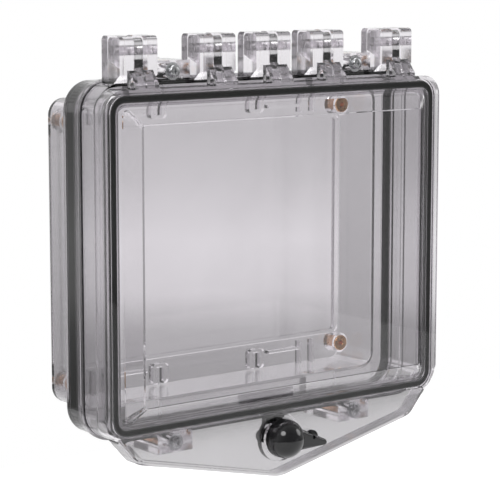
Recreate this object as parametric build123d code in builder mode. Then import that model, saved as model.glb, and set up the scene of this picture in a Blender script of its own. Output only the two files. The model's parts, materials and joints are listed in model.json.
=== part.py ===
import os
from math import cos, radians, sin

from build123d import *

os.makedirs("parts", exist_ok=True)

# A wall-mounted, clear polycarbonate enclosure: a back box, a hinge frame and a lift-up cover.
# The wall is the plane Y = 0, the front looks along -Y and +Z is up. The origin is the middle of
# the back box's wall screws. A height is a distance out from the wall, so Y = -height.

# Driving sizes, in millimetres
wall = 3.0
body_width = 331.0
body_height = 281.0
box_inset_x = 13.0
box_inset_z = 16.5
box_depth = 47.5
box_corner = 14.0
box_back_round = 2.0
body_corner = 24.0
body_front = 90.0
rim_front = 102.0
rim_lip_x = 10.5
rim_lip_z = 9.7
flange_out_x = 4.5
flange_in_z = 4.5
flange_corner = 17.0
flange_back = 107.0
skirt_depth = 12.7
skirt_gap = 0.8
chin_side_in = 11.0
chin_shoulder_in = 28.0
chin_shoulder_drop = 19.5
chin_tip_drop = 51.5
chin_round = 14.0
chin_tip_round = 30.0
chin_bevel = 5.5

# Window dome of the cover
dome_margin = 13.0
dome_rise = 13.2
dome_slope = 15.3
dome_corner = 7.0
pane_corner = 2.0

# Cover gasket and its channel
gasket_inset = 8.5
gasket_inset_z = 7.0
gasket_width = 5.6
gasket_gap = 0.3
gasket_corner = 11.0
channel_rib = 1.6
channel_depth = 3.2

# The box's neck stands inside the frame's skirt, with a rubber band between them
neck_wall = 2.2
neck_length = 14.0
band_width = 9.5
band_thickness = 1.5

# Stiffening rib round the frame's body
body_rib = 2.0
body_rib_width = 3.5
body_rib_height = 67.5

# Back wall: a raised panel, and small ribs and bosses above and below it
panel_margin_x = 8.5
panel_margin_z = 26.0
panel_step = 4.0
panel_corner = 6.0
pad_x = 51.0
pad_width = 16.0
pad_slot = 6.0
pad_height = 17.0
pad_rise = 6.0
rail_start = 64.0
rail_end = 100.0
rail_second = 114.0
rail_thickness = 2.6

# Wall screws: a brass bushing in a boss at each corner of the back box
wall_screw_in_x = 12.5
wall_screw_in_z = 18.0
wall_screw_hole = 2.15
bushing_radius = 5.2
bushing_head = 6.8
bushing_head_height = 2.0
wall_boss_radius = 8.8
wall_boss_height = 15.0

# Ears that clamp the frame to the back box
ear_screw_rise = 7.0
ear_width = 34.0
ear_rise = 15.5
ear_corner = 6.0
ear_front = 89.0
ear_gap = 8.0
box_ear_depth = 12.0
sleeve_radius = 6.0
ear_screw_radius = 2.5
ear_screw_clearance = 0.3
ear_screw_head = 4.8
ear_screw_head_height = 3.4
washer_radius = 7.0
washer_thickness = 1.0
insert_radius = 4.5
thread_fit = 0.05

# Hinge: five towers, each with two frame lugs beside one cover knuckle
tower_share_inner = 0.168
tower_share_outer = 0.2272
tower_width = 35.0
tower_rise = 35.5
tower_front = 98.0
tower_back = 73.5
tower_round = 4.0
lug_width = 13.1
knuckle_gap = 0.4
knuckle_drop = 1.5
apron_width = 22.0
apron_rise = 9.5
hinge_height = 87.5
hinge_rise = 24.5
pin_radius = 3.8
pin_fit = 0.08
pin_proud = 0.8

# Thumb lock on the chin
lock_drop = 18.3
lock_rest_angle = -12.0
lock_boss_radius = 20.0
lock_boss_front = 110.0
lock_floor_back = 101.4
lock_floor = 3.0
lock_bore = 8.6
lock_fit = 0.1
lock_seal_thickness = 1.0
lock_flange_radius = 13.0
lock_flange = 3.0
knob_pocket_gap = 0.7
nut_flats = 23.0
nut_thickness = 2.8
star_thickness = 0.8
spindle_radius = 4.5
spindle_fit = 0.06
spindle_square = 6.2
knob_radius = 16.0
knob_gap = 0.4
knob_barrel = 5.2
lever_length = 45.0
lever_root = 12.5
lever_tip = 2.6
lever_back = 110.8
lever_thickness = 7.0
lever_taper = 18.0
eyelet_radius = 1.6
eyelet_reach = 29.0
cam_front = 93.7
cam_thickness = 2.5
cam_reach = 14.0
cam_hub = 8.4
cam_tip = 5.0
cam_screw_head = 4.4
cam_screw_head_height = 2.4
cam_screw_radius = 1.5
cam_screw_length = 7.0
cam_washer_radius = 5.6
cam_washer_thickness = 0.8

# Keeper under the frame's rim, which the cam turns in behind
keeper_width = 34.0
keeper_tab_width = 20.0
keeper_thickness = 1.8
keeper_tab_back = 94.2
keeper_tab_thickness = 2.2
keeper_drop = 11.6
keeper_start = 91.0
keeper_end = 101.0
rivet_x = 13.0
rivet_radius = 1.6
rivet_head = 2.8
rivet_head_height = 1.2

# Sizes that follow from the ones above
box_width = body_width - 2 * box_inset_x
box_height = body_height - 2 * box_inset_z
flange_width = body_width + 2 * flange_out_x
flange_height = body_height - 2 * flange_in_z
chin_side = flange_width / 2 - chin_side_in
chin_shoulder = flange_width / 2 - chin_shoulder_in
chin_shoulder_z = -flange_height / 2 - chin_shoulder_drop
chin_tip_z = -flange_height / 2 - chin_tip_drop
panel_width = box_width - 2 * panel_margin_x
panel_height = box_height - 2 * panel_margin_z
wall_screw_x = box_width / 2 - wall_screw_in_x
wall_screw_z = box_height / 2 - wall_screw_in_z
flange_front = flange_back + wall
skirt_back = flange_back - skirt_depth
body_back = box_depth
band_outer = body_width - 2 * wall
neck_width = band_outer - 2 * band_thickness
neck_height = body_height - 2 * wall - 2 * band_thickness
neck_corner = body_corner - wall - band_thickness
rim_width = body_width
rim_height = flange_height - 2 * (wall + skirt_gap)
rim_corner = flange_corner - wall
gasket_line_width = flange_width - 2 * gasket_inset
gasket_line_height = flange_height - 2 * gasket_inset_z
gasket_depth = flange_back - rim_front - gasket_gap
dome_width = flange_width - 2 * dome_margin
dome_height = gasket_line_height - 2 * (dome_margin - gasket_inset)
pane_width = dome_width - 2 * dome_slope
pane_height = dome_height - 2 * dome_slope
pane_front = flange_back + dome_rise
dome_wall = wall * 1.2
ear_back = box_depth + ear_gap
tower_pitch_inner = tower_share_inner * body_width
tower_pitch_outer = tower_share_outer * body_width
tower_spacing = tower_pitch_inner + tower_pitch_outer
tower_centres = (-tower_spacing, -tower_pitch_inner, 0.0, tower_pitch_inner, tower_spacing)
tower_top = body_height / 2 + tower_rise
apron_top = body_height / 2 + apron_rise
hinge_z = body_height / 2 + hinge_rise
knuckle_width = tower_width - 2 * (lug_width + knuckle_gap)
ear_x = tower_pitch_inner + tower_pitch_outer / 2
ear_z = body_height / 2 + ear_screw_rise
ear_top = body_height / 2 + ear_rise
lock_z = -flange_height / 2 - lock_drop
keeper_tab_z = -rim_height / 2 - keeper_drop
lock_floor_front = lock_floor_back + lock_floor
bushing_flange_back = lock_floor_front + lock_seal_thickness
bushing_flange_front = bushing_flange_back + lock_flange
knob_back = bushing_flange_front + knob_gap
knob_dome_centre = knob_back + knob_barrel
cam_back = cam_front - cam_thickness
lock_barrel_radius = lock_bore - lock_fit
barrel_back = cam_front + 0.5


def rounded_ring(width, height, corner, thickness):
    RectangleRounded(width, height, corner)
    inner = max(corner - thickness, 0.5)
    RectangleRounded(width - 2 * thickness, height - 2 * thickness, inner, mode=Mode.SUBTRACT)


def side_outline(points):
    # A closed outline in the YZ plane from (height, z) pairs
    Polyline(*[(-height, z) for height, z in points], close=True)


# Back box: an open tray with a raised panel in its wall, a front flange and a neck for the seal
with BuildPart() as back_box:
    with BuildSketch(Plane.XZ):
        RectangleRounded(box_width, box_height, box_corner)
    extrude(amount=box_depth)
    fillet(back_box.faces().sort_by(Axis.Y)[-1].edges(), box_back_round)
    with BuildSketch(Plane.XZ.offset(box_depth - wall)):
        RectangleRounded(body_width, body_height, body_corner)
    extrude(amount=wall)
    for side in (-1, 1):
        with BuildSketch(Plane.XZ.offset(box_depth - box_ear_depth)):
            with Locations(*[(x, side * (box_height / 2 + ear_top) / 2) for x in (-ear_x, ear_x)]):
                RectangleRounded(ear_width, ear_top - box_height / 2 + 2 * ear_corner, ear_corner)
            Rectangle(body_width, box_height, mode=Mode.SUBTRACT)
            with Locations((0, side * (ear_top + ear_corner))):
                Rectangle(body_width, 2 * ear_corner, mode=Mode.SUBTRACT)
        extrude(amount=box_ear_depth)
    with BuildSketch(Plane.XZ.offset(wall)):
        RectangleRounded(box_width - 2 * wall, box_height - 2 * wall, box_corner - wall)
    extrude(amount=box_depth - wall, mode=Mode.SUBTRACT)
    with BuildSketch(Plane.XZ.offset(box_depth - wall)):
        rounded_ring(neck_width, neck_height, neck_corner, neck_wall)
    extrude(amount=wall + neck_length)
    # The panel stands forward of the wall, and is hollow behind
    with BuildSketch(Plane.XZ.offset(wall)):
        RectangleRounded(panel_width, panel_height, panel_corner)
    extrude(amount=panel_step)
    with BuildSketch(Plane.XZ):
        RectangleRounded(panel_width - 2 * wall, panel_height - 2 * wall, panel_corner - wall)
    extrude(amount=panel_step, mode=Mode.SUBTRACT)
    # Slotted pads and rails in the strips above and below the panel
    for side in (-1, 1):
        strip_inner = panel_height / 2 + wall
        strip_outer = box_height / 2 - wall
        strip_middle = side * (strip_inner + strip_outer) / 2
        with BuildSketch(Plane.XZ.offset(wall)):
            with Locations((-pad_x, strip_middle), (pad_x, strip_middle)):
                RectangleRounded(pad_width, pad_height, wall)
            with Locations((-pad_x, strip_middle + side * wall), (pad_x, strip_middle + side * wall)):
                Rectangle(pad_slot, pad_height, mode=Mode.SUBTRACT)
            for hand in (-1, 1):
                with Locations((hand * (rail_start + rail_end) / 2, side * (strip_inner + 2 * wall))):
                    Rectangle(rail_end - rail_start, rail_thickness)
                with Locations((hand * rail_end, strip_middle), (hand * rail_second, strip_middle)):
                    Rectangle(rail_thickness, strip_outer - strip_inner)
        extrude(amount=pad_rise)
    # Bosses for the wall screws
    with BuildSketch(Plane.XZ.offset(wall)):
        with GridLocations(2 * wall_screw_x, 2 * wall_screw_z, 2, 2):
            Circle(wall_boss_radius)
    extrude(amount=wall_boss_height - wall)
    with BuildSketch(Plane.XZ):
        with GridLocations(2 * wall_screw_x, 2 * wall_screw_z, 2, 2):
            Circle(bushing_radius)
    extrude(amount=wall_boss_height, mode=Mode.SUBTRACT)
    with BuildSketch(Plane.XZ.offset(box_depth - box_ear_depth)):
        with GridLocations(2 * ear_x, 2 * ear_z, 2, 2):
            Circle(insert_radius)
    extrude(amount=box_ear_depth, mode=Mode.SUBTRACT)

back_box.part.label = "back_box"
export_step(back_box.part, "parts/back_box.step")

# Brass bushings in the corner bosses, with a head on the inside
with BuildPart() as wall_bushings:
    with BuildSketch(Plane.XZ):
        with GridLocations(2 * wall_screw_x, 2 * wall_screw_z, 2, 2):
            Circle(bushing_radius)
    extrude(amount=wall_boss_height)
    with BuildSketch(Plane.XZ.offset(wall_boss_height)):
        with GridLocations(2 * wall_screw_x, 2 * wall_screw_z, 2, 2):
            Circle(bushing_head)
    extrude(amount=bushing_head_height)
    with BuildSketch(Plane.XZ):
        with GridLocations(2 * wall_screw_x, 2 * wall_screw_z, 2, 2):
            Circle(wall_screw_hole)
    extrude(amount=wall_boss_height + bushing_head_height, mode=Mode.SUBTRACT)

wall_bushings.part.label = "wall_bushings"
export_step(wall_bushings.part, "parts/wall_bushings.step")

# Rubber band round the neck
with BuildPart() as joint_seal:
    with BuildSketch(Plane.XZ.offset(box_depth)):
        rounded_ring(band_outer, body_height - 2 * wall, body_corner - wall, band_thickness)
    extrude(amount=band_width)

joint_seal.part.label = "joint_seal"
export_step(joint_seal.part, "parts/joint_seal.step")

# Hinge frame: a deep body, a narrower rim that the gasket meets, ears and hinge lugs
with BuildPart() as frame:
    with BuildSketch(Plane.XZ.offset(body_back)):
        RectangleRounded(body_width, body_height, body_corner)
    extrude(amount=body_front - body_back)
    with BuildSketch(Plane.XZ.offset(body_rib_height)):
        RectangleRounded(body_width + 2 * body_rib, body_height + 2 * body_rib, body_corner + body_rib)
    extrude(amount=body_rib_width)
    with BuildSketch(Plane.XZ.offset(body_front)):
        RectangleRounded(rim_width, rim_height, rim_corner)
    extrude(amount=rim_front - body_front)
    for side in (-1, 1):
        with BuildSketch(Plane.XZ.offset(ear_back)):
            with Locations(*[(x, side * (body_height / 2 + ear_top) / 2) for x in (-ear_x, ear_x)]):
                RectangleRounded(ear_width, ear_top - body_height / 2 + 2 * ear_corner, ear_corner)
            with Locations((0, side * (ear_top + ear_corner))):
                Rectangle(body_width, 2 * ear_corner, mode=Mode.SUBTRACT)
        extrude(amount=ear_front - ear_back)
    # Two lugs for each tower
    for centre in tower_centres:
        for start in (centre - tower_width / 2, centre + tower_width / 2 - lug_width):
            with BuildSketch(Plane.YZ.offset(start)) as lug:
                with BuildLine():
                    side_outline(
                        [
                            (tower_back, body_height / 2 - wall),
                            (tower_back, tower_top),
                            (tower_front, tower_top),
                            (tower_front, body_height / 2 + 2 * wall),
                            (body_front - wall, body_height / 2 - wall),
                        ]
                    )
                make_face()
                fillet(lug.vertices().group_by(Axis.Y)[-1], tower_round)
            extrude(amount=lug_width)
    # Hollow of the body and of the rim
    with BuildSketch(Plane.XZ.offset(body_back)):
        RectangleRounded(body_width - 2 * wall, body_height - 2 * wall, body_corner - wall)
    extrude(amount=body_front - wall - body_back, mode=Mode.SUBTRACT)
    with BuildSketch(Plane.XZ.offset(body_back)):
        RectangleRounded(rim_width - 2 * wall, rim_height - 2 * wall, rim_corner - wall)
    extrude(amount=rim_front - wall - body_back, mode=Mode.SUBTRACT)
    with BuildSketch(Plane.XZ.offset(body_back)):
        RectangleRounded(rim_width - 2 * rim_lip_x, rim_height - 2 * rim_lip_z, rim_corner - 2 * wall)
    extrude(amount=rim_front - body_back, mode=Mode.SUBTRACT)
    with BuildSketch(Plane.XZ.offset(ear_back)):
        with GridLocations(2 * ear_x, 2 * ear_z, 2, 2):
            Circle(sleeve_radius)
    extrude(amount=ear_front - ear_back, mode=Mode.SUBTRACT)
    with BuildSketch(Plane.YZ):
        with Locations((-hinge_height, hinge_z)):
            Circle(pin_radius)
    extrude(amount=body_width, both=True, mode=Mode.SUBTRACT)
    # Holes for the keeper's rivets
    with BuildSketch(Plane.XY.offset(-rim_height / 2)):
        with Locations(*[(x, -(keeper_start + keeper_end) / 2) for x in (-rivet_x, rivet_x)]):
            Circle(rivet_radius)
    extrude(amount=wall, mode=Mode.SUBTRACT)

frame.part.label = "frame"
export_step(frame.part, "parts/frame.step")

# Brass sleeves in the frame's ears, so that the screws don't crush the plastic
with BuildPart() as ear_sleeves:
    with BuildSketch(Plane.XZ.offset(ear_back)):
        with GridLocations(2 * ear_x, 2 * ear_z, 2, 2):
            Circle(sleeve_radius)
            Circle(ear_screw_radius + ear_screw_clearance, mode=Mode.SUBTRACT)
    extrude(amount=ear_front - ear_back)

ear_sleeves.part.label = "ear_sleeves"
export_step(ear_sleeves.part, "parts/ear_sleeves.step")

# Threaded brass inserts in the box's ears
with BuildPart() as ear_inserts:
    with BuildSketch(Plane.XZ.offset(box_depth - box_ear_depth)):
        with GridLocations(2 * ear_x, 2 * ear_z, 2, 2):
            Circle(insert_radius)
            Circle(ear_screw_radius + thread_fit, mode=Mode.SUBTRACT)
    extrude(amount=box_ear_depth)

ear_inserts.part.label = "ear_inserts"
export_step(ear_inserts.part, "parts/ear_inserts.step")

# Washers and pan-head screws on the ears
with BuildPart() as frame_washers:
    with BuildSketch(Plane.XZ.offset(ear_front)):
        with GridLocations(2 * ear_x, 2 * ear_z, 2, 2):
            Circle(washer_radius)
            Circle(ear_screw_radius + ear_screw_clearance, mode=Mode.SUBTRACT)
    extrude(amount=washer_thickness)

frame_washers.part.label = "frame_washers"
export_step(frame_washers.part, "parts/frame_washers.step")

with BuildPart() as frame_screws:
    with BuildSketch(Plane.XZ.offset(box_depth - box_ear_depth)):
        with GridLocations(2 * ear_x, 2 * ear_z, 2, 2):
            Circle(ear_screw_radius)
    extrude(amount=ear_front + washer_thickness - box_depth + box_ear_depth)
    with BuildSketch(Plane.XZ.offset(ear_front + washer_thickness)):
        with GridLocations(2 * ear_x, 2 * ear_z, 2, 2):
            Circle(ear_screw_head)
    extrude(amount=ear_screw_head_height)
    chamfer(frame_screws.faces().group_by(Axis.Y)[0].edges(), ear_screw_head_height / 2)

frame_screws.part.label = "frame_screws"
export_step(frame_screws.part, "parts/frame_screws.step")

# Hinge pins, tight in the frame's lugs and free in the cover's knuckles
for number, centre in enumerate(tower_centres, 1):
    with BuildPart() as hinge_pin:
        with BuildSketch(Plane.YZ.offset(centre - tower_width / 2 - pin_proud)):
            with Locations((-hinge_height, hinge_z)):
                Circle(pin_radius)
        extrude(amount=tower_width + 2 * pin_proud)
        chamfer(hinge_pin.faces().filter_by(Axis.X).edges(), pin_proud / 2)
    hinge_pin.part.label = f"hinge_pin_{number}"
    export_step(hinge_pin.part, f"parts/hinge_pin_{number}.step")

# Cover: flange, skirt and V-shaped chin in one outline, with a raised window
with BuildPart() as cover:
    with BuildSketch(Plane.XZ.offset(skirt_back)) as cover_outline:
        with BuildLine():
            Polyline(
                (-chin_side, 0),
                (-chin_side, -flange_height / 2),
                (-chin_shoulder, chin_shoulder_z),
                (0, chin_tip_z),
                (chin_shoulder, chin_shoulder_z),
                (chin_side, -flange_height / 2),
                (chin_side, 0),
                close=True,
            )
        make_face()
        fillet(cover_outline.vertices().group_by(Axis.Y)[0], chin_tip_round)
        fillet(cover_outline.vertices().filter_by(lambda v: abs(v.Y - chin_shoulder_z) < 0.1), chin_round)
        RectangleRounded(flange_width, flange_height, flange_corner)
    extrude(amount=flange_front - skirt_back)
    bevel_edges = (
        cover.faces().sort_by(Axis.Y)[0].edges().filter_by(lambda e: e.center().Z < -flange_height / 2 - wall)
    )
    chamfer(bevel_edges, wall - 0.4, chin_bevel)
    with BuildSketch(Plane.XZ.offset(skirt_back)):
        offset(cover_outline.sketch, amount=-wall)
    extrude(amount=skirt_depth, mode=Mode.SUBTRACT)
    # Window dome
    with BuildSketch(Plane.XZ.offset(flange_back)):
        RectangleRounded(dome_width, dome_height, dome_corner)
    with BuildSketch(Plane.XZ.offset(pane_front)):
        RectangleRounded(pane_width, pane_height, pane_corner)
    loft()
    inner_slope = dome_slope * (dome_rise - wall) / dome_rise
    with BuildSketch(Plane.XZ.offset(flange_back)):
        RectangleRounded(dome_width - 2 * dome_wall, dome_height - 2 * dome_wall, dome_corner - wall)
    with BuildSketch(Plane.XZ.offset(pane_front - wall)):
        RectangleRounded(
            dome_width - 2 * dome_wall - 2 * inner_slope,
            dome_height - 2 * dome_wall - 2 * inner_slope,
            pane_corner,
        )
    loft(mode=Mode.SUBTRACT)
    # Ribs that hold the gasket
    with BuildSketch(Plane.XZ.offset(flange_back - channel_depth)):
        rounded_ring(
            gasket_line_width + gasket_width + 2 * channel_rib,
            gasket_line_height + gasket_width + 2 * channel_rib,
            gasket_corner + gasket_width / 2 + channel_rib,
            channel_rib,
        )
        rounded_ring(
            gasket_line_width - gasket_width,
            gasket_line_height - gasket_width,
            gasket_corner - gasket_width / 2,
            channel_rib,
        )
    extrude(amount=channel_depth)
    # One knuckle for each tower, on an arm that rises from the flange
    for centre in tower_centres:
        with BuildSketch(Plane.YZ.offset(centre - knuckle_width / 2)) as knuckle:
            with BuildLine():
                side_outline(
                    [
                        (flange_front, flange_height / 2 - wall),
                        (flange_front, flange_height / 2 + wall),
                        (tower_front, hinge_z - 3.5 * pin_radius),
                        (tower_front, tower_top - knuckle_drop),
                        (tower_back, tower_top - knuckle_drop),
                        (tower_back, hinge_z - 2 * pin_radius),
                        (hinge_height + pin_radius, hinge_z - 4 * pin_radius),
                        (skirt_back, flange_height / 2 + 2 * wall),
                        (skirt_back, flange_height / 2 - wall),
                    ]
                )
            make_face()
            fillet(knuckle.vertices().group_by(Axis.Y)[-1], tower_round)
        extrude(amount=knuckle_width)
    # A wider apron at the foot of each arm, clear in front of the lugs
    for centre in tower_centres:
        with BuildSketch(Plane.YZ.offset(centre - apron_width / 2)):
            with BuildLine():
                side_outline(
                    [
                        (flange_front, flange_height / 2 - wall),
                        (flange_front, flange_height / 2 + wall),
                        (tower_front + wall, apron_top),
                        (tower_front + knuckle_gap, apron_top),
                        (tower_front + knuckle_gap, flange_height / 2 - wall),
                    ]
                )
            make_face()
        extrude(amount=apron_width)
    with BuildSketch(Plane.YZ):
        with Locations((-hinge_height, hinge_z)):
            Circle(pin_radius + pin_fit)
    extrude(amount=flange_width, both=True, mode=Mode.SUBTRACT)
    # Boss and pocket for the lock
    with BuildSketch(Plane.XZ.offset(lock_floor_back)):
        with Locations((0, lock_z)):
            Circle(lock_boss_radius)
    extrude(amount=lock_boss_front - lock_floor_back)
    with BuildSketch(Plane.XZ.offset(lock_floor_front)):
        with Locations((0, lock_z)):
            Circle(knob_radius + knob_pocket_gap)
    extrude(amount=lock_boss_front - lock_floor_front, mode=Mode.SUBTRACT)
    with BuildSketch(Plane.XZ.offset(lock_floor_back)):
        with Locations((0, lock_z)):
            Circle(lock_bore)
    extrude(amount=lock_floor, mode=Mode.SUBTRACT)

cover.part.label = "cover"
export_step(cover.part, "parts/cover.step")

# Cover gasket
with BuildPart() as cover_gasket:
    with BuildSketch(Plane.XZ.offset(flange_back - gasket_depth)):
        rounded_ring(
            gasket_line_width + gasket_width,
            gasket_line_height + gasket_width,
            gasket_corner + gasket_width / 2,
            gasket_width,
        )
    extrude(amount=gasket_depth)

cover_gasket.part.label = "cover_gasket"
export_step(cover_gasket.part, "parts/cover_gasket.step")

# Lock bushing: a flanged barrel through the boss floor
with BuildPart() as lock_bushing:
    with BuildSketch(Plane.XZ.offset(barrel_back)):
        with Locations((0, lock_z)):
            Circle(lock_barrel_radius)
    extrude(amount=bushing_flange_front - barrel_back)
    with BuildSketch(Plane.XZ.offset(bushing_flange_back)):
        with Locations((0, lock_z)):
            Circle(lock_flange_radius)
    extrude(amount=lock_flange)
    with BuildSketch(Plane.XZ.offset(barrel_back)):
        with Locations((0, lock_z)):
            Circle(spindle_radius + spindle_fit)
    extrude(amount=bushing_flange_front - barrel_back, mode=Mode.SUBTRACT)

lock_bushing.part.label = "lock_bushing"
export_step(lock_bushing.part, "parts/lock_bushing.step")

with BuildPart() as lock_seal:
    with BuildSketch(Plane.XZ.offset(lock_floor_front)):
        with Locations((0, lock_z)):
            Circle(lock_flange_radius)
            Circle(lock_bore, mode=Mode.SUBTRACT)
    extrude(amount=lock_seal_thickness)

lock_seal.part.label = "lock_seal"
export_step(lock_seal.part, "parts/lock_seal.step")

with BuildPart() as lock_star_washer:
    with BuildSketch(Plane.XZ.offset(lock_floor_back - star_thickness)):
        with Locations((0, lock_z)):
            Circle(nut_flats / 2)
            Circle(lock_bore, mode=Mode.SUBTRACT)
    extrude(amount=star_thickness)

lock_star_washer.part.label = "lock_star_washer"
export_step(lock_star_washer.part, "parts/lock_star_washer.step")

with BuildPart() as lock_nut:
    with BuildSketch(Plane.XZ.offset(lock_floor_back - star_thickness - nut_thickness)):
        with Locations((0, lock_z)):
            RegularPolygon(nut_flats / 2, 6, major_radius=False)
            Circle(lock_barrel_radius, mode=Mode.SUBTRACT)
    extrude(amount=nut_thickness)

lock_nut.part.label = "lock_nut"
export_step(lock_nut.part, "parts/lock_nut.step")

# Thumb knob: a dome with a tapered lever, which points right when the cover is free
lever_angle = radians(lock_rest_angle)

with BuildPart() as thumb_knob:
    with BuildSketch(Plane.YZ):
        with BuildLine():
            Line((-knob_back, lock_z), (-knob_dome_centre - knob_radius, lock_z))
            CenterArc((-knob_dome_centre, lock_z), knob_radius, 90, 90)
            Line((-knob_dome_centre, lock_z + knob_radius), (-knob_back, lock_z + knob_radius))
            Line((-knob_back, lock_z + knob_radius), (-knob_back, lock_z))
        make_face()
    revolve(axis=Axis((0, 0, lock_z), (0, 1, 0)))
    lever_end = lever_length - lever_tip
    with BuildSketch(Plane.XZ.offset(lever_back)):
        with Locations((0, lock_z)):
            Circle(lever_root)
        with Locations((lever_end * cos(lever_angle), lock_z + lever_end * sin(lever_angle))):
            Circle(lever_tip)
        make_hull()
    extrude(amount=lever_thickness, taper=lever_taper)
    with BuildSketch(Plane.XZ.offset(lever_back)):
        with Locations((eyelet_reach * cos(lever_angle), lock_z + eyelet_reach * sin(lever_angle))):
            Circle(eyelet_radius)
    extrude(amount=lever_thickness, mode=Mode.SUBTRACT)
    with BuildSketch(Plane.XZ.offset(knob_back)):
        with Locations((0, lock_z)):
            Circle(spindle_radius)
    extrude(amount=knob_barrel, mode=Mode.SUBTRACT)

thumb_knob.part.label = "thumb_knob"
export_step(thumb_knob.part, "parts/thumb_knob.step")

# Spindle: round through the bushing, with a square end for the cam
with BuildPart() as lock_spindle:
    with BuildSketch(Plane.XZ.offset(cam_front)):
        with Locations((0, lock_z)):
            Circle(spindle_radius)
    extrude(amount=knob_dome_centre - cam_front)
    with BuildSketch(Plane.XZ.offset(cam_back)):
        with Locations((0, lock_z)):
            Rectangle(spindle_square, spindle_square)
    extrude(amount=cam_thickness)
    with BuildSketch(Plane.XZ.offset(cam_back)):
        with Locations((0, lock_z)):
            Circle(cam_screw_radius)
    extrude(amount=cam_screw_length, mode=Mode.SUBTRACT)

lock_spindle.part.label = "lock_spindle"
export_step(lock_spindle.part, "parts/lock_spindle.step")

# Cam: points left at rest, and turns up behind the keeper
with BuildPart() as lock_cam:
    with BuildSketch(Plane.XZ.offset(cam_back)):
        with Locations((0, lock_z)):
            Circle(cam_hub)
        with Locations((-cam_reach + cam_tip, lock_z)):
            Circle(cam_tip)
        make_hull()
        with Locations((0, lock_z)):
            Rectangle(spindle_square, spindle_square, mode=Mode.SUBTRACT)
    extrude(amount=cam_thickness)

lock_cam.part.label = "lock_cam"
export_step(lock_cam.part, "parts/lock_cam.step")

with BuildPart() as cam_washer:
    with BuildSketch(Plane.XZ.offset(cam_back - cam_washer_thickness)):
        with Locations((0, lock_z)):
            Circle(cam_washer_radius)
            Circle(cam_screw_radius, mode=Mode.SUBTRACT)
    extrude(amount=cam_washer_thickness)

cam_washer.part.label = "cam_washer"
export_step(cam_washer.part, "parts/cam_washer.step")

with BuildPart() as cam_screw:
    with BuildSketch(Plane.XZ.offset(cam_back - cam_washer_thickness - cam_screw_head_height)):
        with Locations((0, lock_z)):
            Circle(cam_screw_head)
    extrude(amount=cam_screw_head_height)
    with BuildSketch(Plane.XZ.offset(cam_back - cam_washer_thickness)):
        with Locations((0, lock_z)):
            Circle(cam_screw_radius)
    extrude(amount=cam_washer_thickness + cam_screw_length)
    chamfer(cam_screw.faces().sort_by(Axis.Y)[-1].edges(), cam_screw_head_height / 3)

cam_screw.part.label = "cam_screw"
export_step(cam_screw.part, "parts/cam_screw.step")

# Keeper: an angle under the rim, with a tab that hangs in front of the cam
with BuildPart() as keeper:
    with BuildSketch(Plane.XY.offset(-rim_height / 2 - keeper_thickness)):
        with Locations((0, -(keeper_start + keeper_end) / 2)):
            Rectangle(keeper_width, keeper_end - keeper_start)
        with Locations(*[(x, -(keeper_start + keeper_end) / 2) for x in (-rivet_x, rivet_x)]):
            Circle(rivet_radius, mode=Mode.SUBTRACT)
    extrude(amount=keeper_thickness)
    with BuildSketch(Plane.XZ.offset(keeper_tab_back)):
        tab_top = -rim_height / 2 - keeper_thickness / 2
        with Locations((0, (tab_top + keeper_tab_z) / 2)):
            Rectangle(keeper_tab_width, tab_top - keeper_tab_z)
    extrude(amount=keeper_tab_thickness)

keeper.part.label = "keeper"
export_step(keeper.part, "parts/keeper.step")

with BuildPart() as keeper_rivets:
    rivet_y = -(keeper_start + keeper_end) / 2
    rivet_bottom = -rim_height / 2 - keeper_thickness
    for start, radius, length in (
        (rivet_bottom - rivet_head_height, rivet_head, rivet_head_height),
        (rivet_bottom, rivet_radius, keeper_thickness + wall),
        (-rim_height / 2 + wall, rivet_head, rivet_head_height),
    ):
        with BuildSketch(Plane.XY.offset(start)):
            with Locations((-rivet_x, rivet_y), (rivet_x, rivet_y)):
                Circle(radius)
        extrude(amount=length)

keeper_rivets.part.label = "keeper_rivets"
export_step(keeper_rivets.part, "parts/keeper_rivets.step")
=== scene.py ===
import math

import bpy
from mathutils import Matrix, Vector
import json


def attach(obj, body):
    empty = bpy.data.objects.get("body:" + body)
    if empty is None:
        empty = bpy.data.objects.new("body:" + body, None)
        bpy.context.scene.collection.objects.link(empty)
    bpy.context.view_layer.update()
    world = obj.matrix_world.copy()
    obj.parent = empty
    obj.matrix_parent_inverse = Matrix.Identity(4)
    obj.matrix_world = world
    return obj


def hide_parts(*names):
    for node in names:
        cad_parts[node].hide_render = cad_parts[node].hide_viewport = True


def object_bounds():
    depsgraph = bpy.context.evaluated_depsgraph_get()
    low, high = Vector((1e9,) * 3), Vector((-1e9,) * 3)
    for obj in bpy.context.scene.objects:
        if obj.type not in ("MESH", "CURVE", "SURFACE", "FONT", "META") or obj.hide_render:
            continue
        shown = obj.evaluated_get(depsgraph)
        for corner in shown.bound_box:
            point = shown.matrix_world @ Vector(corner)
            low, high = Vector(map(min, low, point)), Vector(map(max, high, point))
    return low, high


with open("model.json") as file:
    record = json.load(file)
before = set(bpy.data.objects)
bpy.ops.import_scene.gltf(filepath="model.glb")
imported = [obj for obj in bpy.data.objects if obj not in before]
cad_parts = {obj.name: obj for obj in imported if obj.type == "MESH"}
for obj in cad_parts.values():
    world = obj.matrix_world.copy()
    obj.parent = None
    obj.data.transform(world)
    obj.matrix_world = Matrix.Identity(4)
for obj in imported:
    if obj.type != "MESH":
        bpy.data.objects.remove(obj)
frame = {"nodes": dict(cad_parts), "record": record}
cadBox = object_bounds()
nodes = frame["nodes"]
print("CAD loaded:", len(nodes), "nodes")

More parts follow.
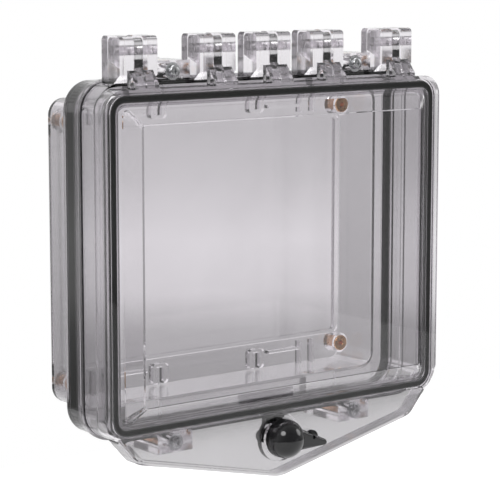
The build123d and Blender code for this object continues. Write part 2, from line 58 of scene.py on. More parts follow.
# Studio: the camera stands where the photo's stood, well back and a little above the middle
cameraLook = {
    "place": (-0.99507, -1.360518, 0.236987), "tilt": 81.602, "turn": -37.57, "lens": 144, "sensor": 36,
}
lampLooks = {
    "keyLamp": {"place": (-1.5, -1.3, 1.7), "size": 1.3, "watts": 24},
    "sideLamp": {"place": (1.9, -0.9, 0.7), "size": 1.1, "watts": 8},
    "topLamp": {"place": (0.1, 0.9, 1.9), "size": 1.2, "watts": 12},
}
roomLook = {
    "fill": 0.5, "front": (0.12, 0.22), "side": (0.46, 0.5), "back": (0.72, 1.0),
    "cardDirection": (0.60, -0.79, -0.12), "cardSpread": (0.972, 0.998), "cardGlow": 0.3,
    "sweepBottom": -0.25,
    "sweep": ((-0.21, 0.38), (-0.1855, 0.50), (-0.166, 0.86), (-0.141, 0.95), (-0.11, 0.76), (-0.082, 0.66),
              (-0.062, 0.78), (-0.045, 1.0)),
}
floorLook = {
    "below": 0.30, "behind": -0.55, "size": 3.2, "colour": (0.8, 0.8, 0.805, 1), "roughness": 0.8,
    "glow": 0.62, "mirrored": 0.22,
}


def addCamera():
    data = bpy.data.cameras.new("photoCamera")
    data.lens = cameraLook["lens"]
    data.sensor_width = cameraLook["sensor"]
    camera = bpy.data.objects.new("photoCamera", data)
    bpy.context.scene.collection.objects.link(camera)
    camera.location = cameraLook["place"]
    camera.rotation_euler = (math.radians(cameraLook["tilt"]), 0, math.radians(cameraLook["turn"]))
    bpy.context.scene.camera = camera


def addLamps():
    middle = Vector((0, -0.06, 0))
    for name, look in lampLooks.items():
        data = bpy.data.lights.new(name, "AREA")
        data.shape = "DISK"
        data.size = look["size"]
        data.energy = look["watts"]
        lamp = bpy.data.objects.new(name, data)
        bpy.context.scene.collection.objects.link(lamp)
        lamp.location = look["place"]
        lamp.rotation_euler = (middle - lamp.location).to_track_quat("-Z", "Y").to_euler()


def addHighest(tree, first, second):
    total = tree.nodes.new("ShaderNodeMath")
    total.operation = "MAXIMUM"
    tree.links.new(first, total.inputs[0])
    tree.links.new(second, total.inputs[1])
    return total.outputs[0]


def addRoom():
    # White to the camera. Reflections and views through the plastic see white behind the object and a
    # darker room in front of it. Everything else is lit by plain grey.
    world = bpy.data.worlds.new("studioRoom")
    bpy.context.scene.world = world
    world.use_nodes = True
    tree = world.node_tree
    tree.nodes.clear()
    out = tree.nodes.new("ShaderNodeOutputWorld")
    white = tree.nodes.new("ShaderNodeBackground")
    white.inputs["Color"].default_value = (1, 1, 1, 1)
    seen = tree.nodes.new("ShaderNodeBackground")
    fill = tree.nodes.new("ShaderNodeBackground")
    fill.inputs["Color"].default_value = (1, 1, 1, 1)
    fill.inputs["Strength"].default_value = roomLook["fill"]
    coords = tree.nodes.new("ShaderNodeTexCoord")
    split = tree.nodes.new("ShaderNodeSeparateXYZ")
    tree.links.new(coords.outputs["Generated"], split.inputs[0])
    shift = tree.nodes.new("ShaderNodeMapRange")
    shift.inputs["From Min"].default_value = -1
    tree.links.new(split.outputs["Y"], shift.inputs["Value"])
    ramp = tree.nodes.new("ShaderNodeValToRGB")
    stops = ramp.color_ramp.elements
    stops.new(roomLook["side"][0])
    for stop, part in zip(stops, ("front", "side", "back")):
        stop.position, tone = roomLook[part]
        stop.color = (tone, tone, tone, 1)
    tree.links.new(shift.outputs["Result"], ramp.inputs[0])
    # A soft card in front and to the right, which the window mirrors as a pale patch
    toCard = tree.nodes.new("ShaderNodeVectorMath")
    toCard.operation = "DOT_PRODUCT"
    toCard.inputs[1].default_value = Vector(roomLook["cardDirection"]).normalized()
    tree.links.new(coords.outputs["Generated"], toCard.inputs[0])
    card = tree.nodes.new("ShaderNodeMapRange")
    card.interpolation_type = "SMOOTHSTEP"
    card.inputs["From Min"].default_value, card.inputs["From Max"].default_value = roomLook["cardSpread"]
    card.inputs["To Max"].default_value = roomLook["cardGlow"]
    tree.links.new(toCard.outputs["Value"], card.inputs["Value"])
    # The paper sweep: white at eye level, greyer just below it, pale again lower down and dark at the bottom
    height = tree.nodes.new("ShaderNodeMapRange")
    height.inputs["From Min"].default_value = roomLook["sweepBottom"]
    height.inputs["From Max"].default_value = 0
    tree.links.new(split.outputs["Z"], height.inputs["Value"])
    sweep = tree.nodes.new("ShaderNodeValToRGB")
    bands = sweep.color_ramp.elements
    bands.remove(bands[1])
    for number, (level, tone) in enumerate(roomLook["sweep"]):
        place = 1 - level / roomLook["sweepBottom"]
        band = bands.new(place) if number else bands[0]
        band.position = place
        band.color = (tone, tone, tone, 1)
    tree.links.new(height.outputs["Result"], sweep.inputs[0])
    paper = tree.nodes.new("ShaderNodeVectorMath")
    paper.operation = "MULTIPLY"
    tree.links.new(ramp.outputs[0], paper.inputs[0])
    tree.links.new(sweep.outputs[0], paper.inputs[1])
    both = tree.nodes.new("ShaderNodeVectorMath")
    tree.links.new(paper.outputs[0], both.inputs[0])
    tree.links.new(card.outputs[0], both.inputs[1])
    tree.links.new(both.outputs[0], seen.inputs["Color"])
    path = tree.nodes.new("ShaderNodeLightPath")
    bent = addHighest(tree, path.outputs["Is Glossy Ray"], path.outputs["Is Transmission Ray"])
    mixBent = tree.nodes.new("ShaderNodeMixShader")
    tree.links.new(bent, mixBent.inputs[0])
    tree.links.new(fill.outputs[0], mixBent.inputs[1])
    tree.links.new(seen.outputs[0], mixBent.inputs[2])
    mixSeen = tree.nodes.new("ShaderNodeMixShader")
    tree.links.new(path.outputs["Is Camera Ray"], mixSeen.inputs[0])
    tree.links.new(mixBent.outputs[0], mixSeen.inputs[1])
    tree.links.new(white.outputs[0], mixSeen.inputs[2])
    tree.links.new(mixSeen.outputs[0], out.inputs["Surface"])


def addFloor():
    # A pale floor for the object's soft shadow. Reflections and views through the plastic see it darker
    bpy.ops.object.select_all(action="DESELECT")
    bpy.ops.mesh.primitive_plane_add(
        size=floorLook["size"], location=(0, floorLook["behind"], cadBox[0][2] - floorLook["below"])
    )
    floor = bpy.context.object
    floor.name = "studioFloor"
    material = bpy.data.materials.new("floorPaint")
    material.use_nodes = True
    tree = material.node_tree
    shader = tree.nodes["Principled BSDF"]
    shader.inputs["Base Color"].default_value = floorLook["colour"]
    shader.inputs["Roughness"].default_value = floorLook["roughness"]
    shader.inputs["Emission Color"].default_value = (1, 1, 1, 1)
    path = tree.nodes.new("ShaderNodeLightPath")
    bent = addHighest(tree, path.outputs["Is Glossy Ray"], path.outputs["Is Transmission Ray"])
    seen = tree.nodes.new("ShaderNodeMath")
    seen.operation = "MULTIPLY"
    seen.inputs[1].default_value = floorLook["glow"]
    tree.links.new(path.outputs["Is Camera Ray"], seen.inputs[0])
    glow = tree.nodes.new("ShaderNodeMath")
    glow.operation = "MULTIPLY_ADD"
    glow.inputs[1].default_value = floorLook["mirrored"]
    tree.links.new(bent, glow.inputs[0])
    tree.links.new(seen.outputs[0], glow.inputs[2])
    tree.links.new(glow.outputs[0], shader.inputs["Emission Strength"])
    floor.data.materials.append(material)


addCamera()
addLamps()
addRoom()
addFloor()
bpy.context.scene.view_settings.view_transform = "Standard"
print("studio ready")

# What all finishes share: how far their patches, grain and scratches spread
wearLook = {
    "patchSpread": (0.35, 0.65), "grainSpread": (0.3, 0.7), "scratchSpread": (0.62, 0.70), "scratchScale": 60,
    "scratchStretch": (1, 30, 30), "scratchTurn": (0.3, 0.5, 0.9), "detail": 4, "bumpHeight": 0.001,
}
# Each finish has two close colours in soft patches, a roughness that varies with fine scratches, and a bump.
# Parts of the clear mouldings are less polished than their flat panes, and painted shade makes some of them
# darker while painted light makes others paler. Each of these rows gives the axis, the distances from the
# middle where that part begins and is complete, its roughness and what its colour is multiplied by as painted
# shade or light. "behind" keeps those parts to the rear of a range along Y.
# Clear plastic. Its row paints shade on the parts beyond 137 mm above and below the middle, the cover's chin
# and hinge arms, darkening them by 0.72
clearLook = {
    "colours": ((0.885, 0.865, 0.890, 1), (0.915, 0.895, 0.920, 1)), "patch": 14,
    "roughness": (0.01, 0.04), "grain": 60, "scratch": 0.03, "bump": 0.002, "bumpScale": 9,
    "sockets": {"IOR": 1.585, "Transmission Weight": 1.0}, "mattAndShade": (("Z", 0.1370, 0.1385, 0.10, 0.72),),
}
# The box's copy of the clear plastic is painted a little darker, and its side walls and its top and bottom
# walls behind the flange are painted darker still: painted shade
shadedBoxLook = {
    **clearLook, "colours": ((0.865, 0.845, 0.870, 1), (0.895, 0.875, 0.900, 1)),
    "mattAndShade": (("X", 0.1485, 0.1500, 0.24, 0.66), ("Z", 0.1205, 0.1215, 0.32, 0.72)),
    "behind": (-0.046, -0.044),
}
# The frame's copy of the clear plastic is painted much darker as shade, and its lugs and lower ears, beyond
# 142.5 mm above and below the middle, are painted paler again as light
shadedFrameLook = {
    **clearLook, "colours": ((0.560, 0.545, 0.565, 1), (0.590, 0.575, 0.595, 1)),
    "mattAndShade": (("X", 0.1600, 0.1620, 0.05, 1.0), ("Z", 0.1425, 0.1440, 0.12, 1.68)),
}
rubberLook = {
    "colours": ((0.003, 0.003, 0.0035, 1), (0.007, 0.007, 0.0075, 1)), "patch": 40,
    "roughness": (0.50, 0.68), "grain": 300, "scratch": 0.1, "bump": 0.15, "bumpScale": 500,
    "sockets": {"Specular IOR Level": 0.05},
}
brassLook = {
    "colours": ((0.70, 0.36, 0.16, 1), (0.86, 0.52, 0.27, 1)), "patch": 150,
    "roughness": (0.22, 0.40), "grain": 500, "scratch": 0.2, "bump": 0.12, "bumpScale": 700,
    "sockets": {"Metallic": 1.0},
}
steelLook = {
    "colours": ((0.56, 0.565, 0.58, 1), (0.70, 0.705, 0.72, 1)), "patch": 120,
    "roughness": (0.16, 0.34), "grain": 500, "scratch": 0.2, "bump": 0.08, "bumpScale": 700,
    "sockets": {"Metallic": 1.0},
}
knobLook = {
    "colours": ((0.006, 0.006, 0.007, 1), (0.012, 0.012, 0.013, 1)), "patch": 60,
    "roughness": (0.06, 0.16), "grain": 220, "scratch": 0.12, "bump": 0.04, "bumpScale": 120,
    "sockets": {"Specular IOR Level": 0.6},
}


def newFinish(name, look):
    material = bpy.data.materials.new(name)
    material.use_nodes = True
    tree = material.node_tree
    shader = tree.nodes["Principled BSDF"]
    for socket, value in look["sockets"].items():
        shader.inputs[socket].default_value = value
    coords = tree.nodes.new("ShaderNodeTexCoord")

    def noise(scale, stretch=None):
        made = tree.nodes.new("ShaderNodeTexNoise")
        made.inputs["Scale"].default_value = scale
        made.inputs["Detail"].default_value = wearLook["detail"]
        if stretch:
            mapping = tree.nodes.new("ShaderNodeMapping")
            mapping.inputs["Scale"].default_value = stretch
            mapping.inputs["Rotation"].default_value = wearLook["scratchTurn"]
            tree.links.new(coords.outputs["Object"], mapping.inputs[0])
            tree.links.new(mapping.outputs[0], made.inputs["Vector"])
        else:
            tree.links.new(coords.outputs["Object"], made.inputs["Vector"])
        return made.outputs["Fac"]

    ramp = tree.nodes.new("ShaderNodeValToRGB")
    for stop, place, shade in zip(ramp.color_ramp.elements, wearLook["patchSpread"], look["colours"]):
        stop.position, stop.color = place, shade
    tree.links.new(noise(look["patch"]), ramp.inputs[0])
    colour = ramp.outputs[0]
    rough = tree.nodes.new("ShaderNodeMapRange")
    rough.inputs["From Min"].default_value, rough.inputs["From Max"].default_value = wearLook["grainSpread"]
    rough.inputs["To Min"].default_value, rough.inputs["To Max"].default_value = look["roughness"]
    tree.links.new(noise(look["grain"]), rough.inputs["Value"])
    scratch = tree.nodes.new("ShaderNodeMapRange")
    least, most = wearLook["scratchSpread"]
    scratch.inputs["From Min"].default_value, scratch.inputs["From Max"].default_value = least, most
    scratch.inputs["To Max"].default_value = look["scratch"]
    scratchNoise = noise(wearLook["scratchScale"], wearLook["scratchStretch"])
    tree.links.new(scratchNoise, scratch.inputs["Value"])
    worn = tree.nodes.new("ShaderNodeMath")
    worn.operation = "ADD"
    tree.links.new(rough.outputs[0], worn.inputs[0])
    tree.links.new(scratch.outputs[0], worn.inputs[1])
    roughness = worn.outputs[0]
    if look.get("mattAndShade"):
        split = tree.nodes.new("ShaderNodeSeparateXYZ")
        tree.links.new(coords.outputs["Object"], split.inputs[0])
        for axis, start, end, amount, shade in look["mattAndShade"]:
            distance = tree.nodes.new("ShaderNodeMath")
            distance.operation = "ABSOLUTE"
            tree.links.new(split.outputs[axis], distance.inputs[0])
            zone = tree.nodes.new("ShaderNodeMapRange")
            zone.inputs["From Min"].default_value, zone.inputs["From Max"].default_value = start, end
            tree.links.new(distance.outputs[0], zone.inputs["Value"])
            if look.get("behind"):
                rear = tree.nodes.new("ShaderNodeMapRange")
                rear.inputs["From Min"].default_value, rear.inputs["From Max"].default_value = look["behind"]
                tree.links.new(split.outputs["Y"], rear.inputs["Value"])
                tree.links.new(rear.outputs[0], zone.inputs["To Max"])
            dull = tree.nodes.new("ShaderNodeMath")
            dull.operation = "MULTIPLY"
            dull.inputs[1].default_value = amount
            tree.links.new(zone.outputs[0], dull.inputs[0])
            roughness = addHighest(tree, roughness, dull.outputs[0])
            # Painted shade where the factor is below 1 and painted light where it is above 1: the zone's
            # colour is scaled by it
            shadeFactor = tree.nodes.new("ShaderNodeMapRange")
            shadeFactor.inputs["To Min"].default_value, shadeFactor.inputs["To Max"].default_value = 1, shade
            tree.links.new(zone.outputs[0], shadeFactor.inputs["Value"])
            paintedShade = tree.nodes.new("ShaderNodeVectorMath")
            paintedShade.operation = "SCALE"
            tree.links.new(colour, paintedShade.inputs[0])
            tree.links.new(shadeFactor.outputs[0], paintedShade.inputs["Scale"])
            colour = paintedShade.outputs[0]
    tree.links.new(colour, shader.inputs["Base Color"])
    tree.links.new(roughness, shader.inputs["Roughness"])
    bump = tree.nodes.new("ShaderNodeBump")
    bump.inputs["Strength"].default_value = look["bump"]
    bump.inputs["Distance"].default_value = wearLook["bumpHeight"]
    tree.links.new(noise(look["bumpScale"]), bump.inputs["Height"])
    tree.links.new(bump.outputs[0], shader.inputs["Normal"])
    return material


finishes = {
    "clear_polycarbonate": newFinish("clearPlastic", clearLook),
    "black_rubber": newFinish("sealRubber", rubberLook),
    "brass": newFinish("bushingBrass", brassLook),
    "bright_steel": newFinish("hardwareSteel", steelLook),
    "black_plastic": newFinish("knobPlastic", knobLook),
}
slotOf = {part["node"]: part["material_slot"] for part in frame["record"]["subparts"]}
# The box and the frame get their own copies of the clear plastic, painted darker as shade
shadedCopies = {"back_box": newFinish("clearBoxShaded", shadedBoxLook), "frame": newFinish("clearFrameShaded", shadedFrameLook)}
for name, slot in slotOf.items():
    nodes[name].data.materials.clear()
    nodes[name].data.materials.append(shadedCopies.get(name, finishes[slot]))
print("finishes on the CAD nodes")


# Helpers for the pieces that follow. The screws' neck, point, rim, flat and crown are shares of their size
meshLook = {"weld": 0.00001, "turnedWeld": 0.000002, "flatWithin": 1, "smooth": 35, "turnedSmooth": 32}
headLook = {
    "neck": 0.9, "point": 0.7, "turns": (0, 20, 40, 60, 80), "rim": 0.35, "flat": 0.62, "crown": 0.4,
    "crossTaper": 0.55,
}


def startEdit(piece):
    bpy.ops.object.select_all(action="DESELECT")
    piece.select_set(True)
    bpy.context.view_layer.objects.active = piece
    bpy.ops.object.mode_set(mode="EDIT")


def endEdit():
    bpy.ops.object.mode_set(mode="OBJECT")


def useModifier(piece, kind, **values):
    modifier = piece.modifiers.new(kind.lower(), kind)
    for key, value in values.items():
        setattr(modifier, key, value)
    bpy.ops.object.select_all(action="DESELECT")
    piece.select_set(True)
    bpy.context.view_layer.objects.active = piece
    bpy.ops.object.modifier_apply(modifier=modifier.name)


def roundEdges(piece, width, segments=2, keep=30):
    useModifier(
        piece, "BEVEL", width=width, segments=segments, limit_method="ANGLE",
        angle_limit=math.radians(keep), use_clamp_overlap=True,
    )


def softEdges(nodeName, body, width, segments=2):
    # The CAD solid with its edges rounded, as moulding or pressing leaves them
    source = nodes[nodeName]
    piece = source.copy()
    piece.data = source.data.copy()
    piece.name = nodeName + "Soft"
    bpy.context.scene.collection.objects.link(piece)
    startEdit(piece)
    bpy.ops.mesh.select_all(action="SELECT")
    bpy.ops.mesh.remove_doubles(threshold=meshLook["weld"])
    bpy.ops.mesh.dissolve_limited(angle_limit=math.radians(meshLook["flatWithin"]))
    endEdit()
    roundEdges(piece, width, segments)
    bpy.ops.object.shade_smooth_by_angle(angle=math.radians(meshLook["smooth"]))
    useModifier(piece, "WEIGHTED_NORMAL", mode="FACE_AREA", weight=100, keep_sharp=True)
    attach(piece, body)
    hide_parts(nodeName)
    return piece


def pickCorners(piece, wanted):
    # Leaves the piece in edit mode with only the wanted corners selected
    startEdit(piece)
    bpy.ops.mesh.select_mode(type="VERT")
    bpy.ops.mesh.select_all(action="DESELECT")
    endEdit()
    for vertex in piece.data.vertices:
        vertex.select = wanted(vertex.co)
    bpy.ops.object.mode_set(mode="EDIT")


def turnPiece(name, corners, profile, hollow=False):
    # A round piece on +Z: a ring raised and resized from one (radius, height) to the next
    bpy.ops.object.select_all(action="DESELECT")
    radius, height = profile[0]
    bpy.ops.mesh.primitive_circle_add(
        vertices=corners, radius=radius, fill_type="NOTHING" if hollow else "NGON", location=(0, 0, height)
    )
    piece = bpy.context.object
    piece.name = name
    bpy.ops.object.mode_set(mode="EDIT")
    bpy.ops.mesh.select_all(action="SELECT")
    for nextRadius, nextHeight in profile[1:]:
        bpy.ops.mesh.extrude_region_move(TRANSFORM_OT_translate={"value": (0, 0, nextHeight - height)})
        scale = nextRadius / radius
        bpy.ops.transform.resize(value=(scale, scale, 1))
        radius, height = nextRadius, nextHeight
    bpy.ops.mesh.select_all(action="SELECT")
    bpy.ops.mesh.remove_doubles(threshold=meshLook["turnedWeld"])
    bpy.ops.mesh.normals_make_consistent(inside=False)
    endEdit()
    return piece


def threadSteps(start, end, radius, pitch, depth):
    # Ridges along a shank, crest and root in turn
    count = round((end - start) / pitch)
    step = (end - start) / count
    steps = []
    for number in range(count):
        steps.append((radius - depth, start + number * step))
        steps.append((radius, start + (number + 0.5) * step))
    return steps


def panHead(seat, height, radius):
    # The curve from a pan head's rim up to its flat top
    rim, flat = headLook["rim"], headLook["flat"]
    steps = []
    for turn in headLook["turns"]:
        angle = math.radians(turn)
        across = flat + (1 - flat) * math.cos(angle)
        up = rim + (1 - rim) * math.sin(angle)
        steps.append((radius * across, seat + height * up))
    steps.append((radius * headLook["crown"], seat + height))
    return steps


def faceOut(piece, x, z, turn=90):
    # Turns a piece made on +Z to face out of the wall, at its place, or to face the wall if the turn is -90
    bpy.ops.object.select_all(action="DESELECT")
    piece.select_set(True)
    bpy.context.view_layer.objects.active = piece
    bpy.ops.object.transform_apply(location=True, rotation=True, scale=True)
    piece.rotation_euler = (math.radians(turn), 0, 0)
    piece.location = (x, 0, z)
    bpy.ops.object.transform_apply(location=True, rotation=True, scale=True)


def copyTo(piece, moves):
    # Copies beside the first, each with its own mesh, joined to it as one set
    made = [piece]
    for move in moves:
        bpy.ops.object.select_all(action="DESELECT")
        piece.select_set(True)
        bpy.context.view_layer.objects.active = piece
        bpy.ops.object.duplicate(linked=False)
        copy = bpy.context.object
        copy.location = move
        bpy.ops.object.transform_apply(location=True, rotation=False, scale=False)
        made.append(copy)
    bpy.ops.object.select_all(action="DESELECT")
    for one in made:
        one.select_set(True)
    bpy.context.view_layer.objects.active = piece
    bpy.ops.object.join()


def fourCorners(piece, x, z):
    # The first stands at the upper left
    copyTo(piece, ((2 * x, 0, 0), (0, 0, -2 * z), (2 * x, 0, -2 * z)))


def cutWith(piece, cutter, operation="DIFFERENCE"):
    useModifier(piece, "BOOLEAN", object=cutter, operation=operation, solver="EXACT")
    bpy.data.objects.remove(cutter)


def cutCross(piece, top, reach, width, depth):
    # A cross recess that narrows towards its bottom
    for size in ((reach, width), (width, reach)):
        bpy.ops.object.select_all(action="DESELECT")
        bpy.ops.mesh.primitive_cube_add(size=1, location=(0, 0, top))
        cutter = bpy.context.object
        cutter.scale = (size[0], size[1], 2 * depth)
        pickCorners(cutter, lambda corner: corner.z < 0)
        bpy.ops.transform.resize(value=(headLook["crossTaper"], headLook["crossTaper"], 1))
        endEdit()
        cutWith(piece, cutter)


def dress(piece, slot, body, *replaced):
    piece.data.materials.clear()
    piece.data.materials.append(finishes[slot])
    bpy.ops.object.select_all(action="DESELECT")
    piece.select_set(True)
    bpy.context.view_layer.objects.active = piece
    bpy.ops.object.shade_smooth_by_angle(angle=math.radians(meshLook["turnedSmooth"]))
    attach(piece, body)
    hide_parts(*replaced)
    print(piece.name, len(piece.data.polygons), "faces")


# Rubber and the clear mouldings
edgeLook = {
    "cover_gasket": ("lid", 0.0011, 3), "joint_seal": ("base", 0.0004, 2),
    "back_box": ("base", 0.0004, 2), "frame": ("base", 0.0004, 2), "cover": ("lid", 0.0004, 2),
}
for name, (body, width, segments) in edgeLook.items():
    piece = softEdges(name, body, width, segments)
    print(name, len(piece.data.polygons), "faces")

# Small pressed and turned metal, with worn edges
smallLook = {
    "frame_washers": ("base", 0.0002), "lock_nut": ("lid", 0.0003), "lock_cam": ("lock", 0.0003),
    "cam_washer": ("lock", 0.00015), "keeper": ("base", 0.0003), "keeper_rivets": ("base", 0.0004),
    "hinge_pin_1": ("base", 0.0003), "hinge_pin_2": ("base", 0.0003), "hinge_pin_3": ("base", 0.0003),
    "hinge_pin_4": ("base", 0.0003), "hinge_pin_5": ("base", 0.0003),
}
for name, (body, width) in smallLook.items():
    softEdges(name, body, width)
print("mouldings and small metal done")

# Pan-head screws in the ears: a threaded shank and a cross recess
screwLook = {
    "x": 0.09321, "z": 0.1475, "tip": 0.0358, "thread": 0.0485, "seat": 0.0900, "head": 0.0034,
    "shank": 0.0025, "headRadius": 0.0048, "pitch": 0.0008, "cut": 0.00035, "point": 0.0006, "runOut": 0.0005,
    "cross": (0.0050, 0.0011, 0.0019),
}


def addScrews():
    look = screwLook
    shank = look["shank"]
    neck = shank * headLook["neck"]
    profile = [(shank * headLook["point"], look["tip"])]
    profile += threadSteps(look["tip"] + look["point"], look["thread"], shank, look["pitch"], look["cut"])
    profile += [(neck, look["thread"] + look["runOut"]), (neck, look["seat"])]
    profile += [(look["headRadius"], look["seat"])]
    profile += panHead(look["seat"], look["head"], look["headRadius"])
    screw = turnPiece("ear_screws", 28, profile)
    cutCross(screw, look["seat"] + look["head"], *look["cross"])
    faceOut(screw, -look["x"], look["z"])
    fourCorners(screw, look["x"], look["z"])
    dress(screw, "bright_steel", "base", "frame_screws")


addScrews()

# Brass: knurled bushings in the corners, sleeves in the frame's ears and inserts in the box's ears
brassLooks = {
    "corner_bushings": {
        "node": "wall_bushings", "x": 0.140, "z": 0.106, "bore": 0.00215, "outer": 0.00512,
        "start": 0.0, "end": 0.015, "headRadius": 0.0068, "head": 0.002,
    },
    "ear_bushes": {
        "node": "ear_sleeves", "x": 0.09321, "z": 0.1475, "bore": 0.0028, "outer": 0.00592,
        "start": 0.0555, "end": 0.089, "headRadius": 0.0, "head": 0.0,
    },
    "ear_nuts": {
        "node": "ear_inserts", "x": 0.09321, "z": 0.1475, "bore": 0.00256, "outer": 0.00442,
        "start": 0.0355, "end": 0.0475, "headRadius": 0.0, "head": 0.0,
    },
}
knurlLook = {"grooveDepth": 0.0006, "grooveWidth": 0.0008, "edge": 0.0004, "ridges": 30, "press": 0.955}


def addBrass(name, look):
    groove = look["outer"] - knurlLook["grooveDepth"]
    width = knurlLook["grooveWidth"]
    edge = knurlLook["edge"]
    start, end = look["start"], look["end"]
    middle = (start + end) / 2
    profile = [
        (look["bore"], start + edge), (look["bore"] + edge, start), (look["outer"] - edge, start),
        (look["outer"], start + edge), (look["outer"], middle - width), (groove, middle - width / 2),
        (groove, middle + width / 2), (look["outer"], middle + width),
    ]
    if look["head"]:
        top = end + look["head"]
        profile += [
            (look["outer"], end), (look["headRadius"] - edge / 2, end), (look["headRadius"], end + edge / 2),
            (look["headRadius"], top - edge), (look["headRadius"] - edge, top),
        ]
    else:
        top = end
        profile += [(look["outer"], end - edge), (look["outer"] - edge, end)]
    profile += [(look["bore"] + edge, top), (look["bore"], top - edge), (look["bore"], start + edge)]
    corners = 2 * knurlLook["ridges"]
    piece = turnPiece(name, corners, profile, hollow=True)
    # The knurl: every other corner of the outside is pressed in a little
    rise = piece.location.z

    def pressedIn(corner):
        step = round(math.degrees(math.atan2(corner.y, corner.x)) * corners / 360)
        return step % 2 == 1 and abs(corner.xy.length - look["outer"]) < 0.00002 and corner.z + rise < end

    pickCorners(piece, pressedIn)
    press = knurlLook["press"]
    bpy.ops.transform.resize(value=(press, press, 1), center_override=(0, 0, 0))
    endEdit()
    faceOut(piece, -look["x"], look["z"])
    fourCorners(piece, look["x"], look["z"])
    dress(piece, "brass", "base", look["node"])


for name, look in brassLooks.items():
    addBrass(name, look)

# Thumb knob: a glossy dome with a tapered lever, and an eyelet in a hump on the lever's upper side
thumbLook = {
    "z": -0.1543, "back": 0.1088, "equator": 0.1140, "radius": 0.0160, "bore": 0.0045, "boreEnd": 0.1140,
    "leverBack": 0.1108, "leverFront": 0.1168, "root": 0.0125, "tip": 0.0026, "reach": 0.0424, "tilt": -12,
    "humpAt": (0.0285, 0.0035), "humpRadius": 0.0055, "humpHeight": 0.7, "humpMiddle": 0.38, "eyelet": 0.0016,
    "rim": 0.0006, "crown": 0.0002, "leverRound": 0.0005, "humpRound": 0.0007, "straight": 0.55,
    "taper": (0.93, 0.76, 1),
}


def addKnob():
    look = thumbLook
    profile = [
        (look["bore"], look["boreEnd"]), (look["bore"], look["back"]),
        (look["radius"] - look["rim"], look["back"]), (look["radius"], look["back"] + look["rim"]),
    ]
    for turn in range(0, 90, 5):
        angle = math.radians(turn)
        profile.append((look["radius"] * math.cos(angle), look["equator"] + look["radius"] * math.sin(angle)))
    profile.append((look["crown"], look["equator"] + look["radius"]))
    knob = turnPiece("thumb_dome", 64, profile)
    # Lever: one side of a disc is drawn in to the tip's size and moved out, then the outline is raised
    bpy.ops.object.select_all(action="DESELECT")
    bpy.ops.mesh.primitive_circle_add(
        vertices=72, radius=look["root"], fill_type="NGON", location=(0, 0, look["leverBack"])
    )
    lever = bpy.context.object
    limit = look["root"] * (look["root"] - look["tip"]) / look["reach"]
    pickCorners(lever, lambda corner: corner.x > limit)
    scale = look["tip"] / look["root"]
    bpy.ops.transform.resize(value=(scale, scale, 1), center_override=(0, 0, look["leverBack"]))
    bpy.ops.transform.translate(value=(look["reach"], 0, 0))
    bpy.ops.mesh.select_all(action="SELECT")
    rise = look["leverFront"] - look["leverBack"]
    bpy.ops.mesh.extrude_region_move(TRANSFORM_OT_translate={"value": (0, 0, rise * look["straight"])})
    bpy.ops.mesh.extrude_region_move(TRANSFORM_OT_translate={"value": (0, 0, rise * (1 - look["straight"]))})
    bpy.ops.transform.resize(value=look["taper"])
    bpy.ops.mesh.select_all(action="SELECT")
    bpy.ops.mesh.normals_make_consistent(inside=False)
    endEdit()
    roundEdges(lever, look["leverRound"])
    # Hump and its hole
    bpy.ops.mesh.primitive_cylinder_add(
        vertices=40, radius=look["humpRadius"], depth=rise * look["humpHeight"],
        location=(*look["humpAt"], look["leverBack"] + rise * look["humpMiddle"]),
    )
    hump = bpy.context.object
    roundEdges(hump, look["humpRound"])
    cutWith(lever, hump, "UNION")
    bpy.ops.mesh.primitive_cylinder_add(
        vertices=32, radius=look["eyelet"], depth=0.03, location=(*look["humpAt"], look["leverBack"])
    )
    cutWith(lever, bpy.context.object)
    bpy.ops.object.select_all(action="DESELECT")
    lever.select_set(True)
    bpy.context.view_layer.objects.active = lever
    bpy.ops.object.transform_apply(location=True, rotation=True, scale=True)
    lever.rotation_euler = (0, 0, math.radians(look["tilt"]))
    bpy.ops.object.transform_apply(location=True, rotation=True, scale=True)
    cutWith(knob, lever, "UNION")
    faceOut(knob, 0, look["z"])
    dress(knob, "black_plastic", "lock", "thumb_knob")


addKnob()
print("knob done")

# The lock's threaded barrel with its flange, the toothed washer behind the wall, and the cam's screw
lockLook = {
    "z": -0.1543, "bore": 0.00456, "barrel": 0.00849, "barrelBack": 0.0942, "thread": 0.1010, "pitch": 0.0010,
    "cut": 0.0004, "lead": 0.0006, "start": 0.0002, "flange": 0.0130, "flangeBack": 0.1054,
    "flangeFront": 0.1084, "edge": 0.0004,
}
starLook = {
    "inner": 0.0086, "outer": 0.0115, "back": 0.1006, "front": 0.1014, "teeth": 12, "notch": 0.87,
    "edge": 0.00012,
}
camScrewLook = {
    "headRadius": 0.0044, "head": 0.0024, "top": -0.0880, "shank": 0.0015, "tip": -0.0982, "pitch": 0.0006,
    "cut": 0.0002, "point": 0.0004, "neck": 0.0006, "runOut": 0.0004, "cross": (0.0042, 0.0009, 0.0014),
}


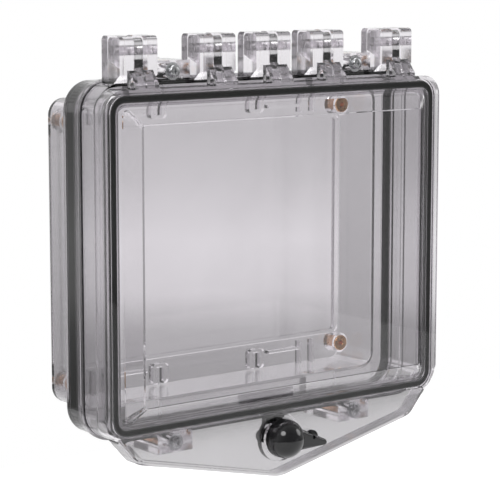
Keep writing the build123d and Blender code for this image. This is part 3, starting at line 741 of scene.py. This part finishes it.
def addLockBarrel():
    look = lockLook
    edge, bore, barrel = look["edge"], look["bore"], look["barrel"]
    back, thread = look["barrelBack"], look["thread"]
    flange, flangeBack, flangeFront = look["flange"], look["flangeBack"], look["flangeFront"]
    profile = [(bore, back + edge), (bore + edge, back), (barrel - look["lead"], back)]
    profile += threadSteps(back + look["start"], thread, barrel, look["pitch"], look["cut"])
    profile += [
        (barrel, thread + edge), (barrel, flangeBack), (flange - edge, flangeBack),
        (flange, flangeBack + edge), (flange, flangeFront - edge), (flange - edge, flangeFront),
        (bore + edge, flangeFront), (bore, flangeFront - edge), (bore, back + edge),
    ]
    barrelPiece = turnPiece("lock_barrel", 60, profile, hollow=True)
    faceOut(barrelPiece, 0, look["z"])
    dress(barrelPiece, "black_plastic", "lid", "lock_bushing")


def addStarWasher():
    look = starLook
    corners = look["teeth"] * 4
    profile = [
        (look["inner"], look["back"]), (look["outer"], look["back"]), (look["outer"], look["front"]),
        (look["inner"], look["front"]), (look["inner"], look["back"]),
    ]
    washer = turnPiece("toothed_washer", corners, profile, hollow=True)

    def betweenTeeth(corner):
        step = round(math.degrees(math.atan2(corner.y, corner.x)) * corners / 360)
        return step % 4 < 2 and corner.xy.length > look["outer"] * 0.99

    pickCorners(washer, betweenTeeth)
    bpy.ops.transform.resize(value=(look["notch"], look["notch"], 1), center_override=(0, 0, 0))
    endEdit()
    roundEdges(washer, look["edge"], keep=40)
    faceOut(washer, 0, lockLook["z"])
    dress(washer, "bright_steel", "lid", "lock_star_washer")


def addCamScrew():
    look = camScrewLook
    seat = look["top"] - look["head"]
    threadEnd = seat - look["neck"] - look["runOut"]
    shank = look["shank"]
    profile = [(shank * headLook["point"], look["tip"])]
    profile += threadSteps(look["tip"] + look["point"], threadEnd, shank, look["pitch"], look["cut"])
    profile += [(shank, seat - look["neck"]), (shank, seat), (look["headRadius"], seat)]
    profile += panHead(seat, look["head"], look["headRadius"])
    screw = turnPiece("cam_pan_screw", 28, profile)
    cutCross(screw, look["top"], *look["cross"])
    faceOut(screw, 0, lockLook["z"], -90)
    dress(screw, "bright_steel", "lock", "cam_screw")


addLockBarrel()
addStarWasher()
addCamScrew()
print("lock done")
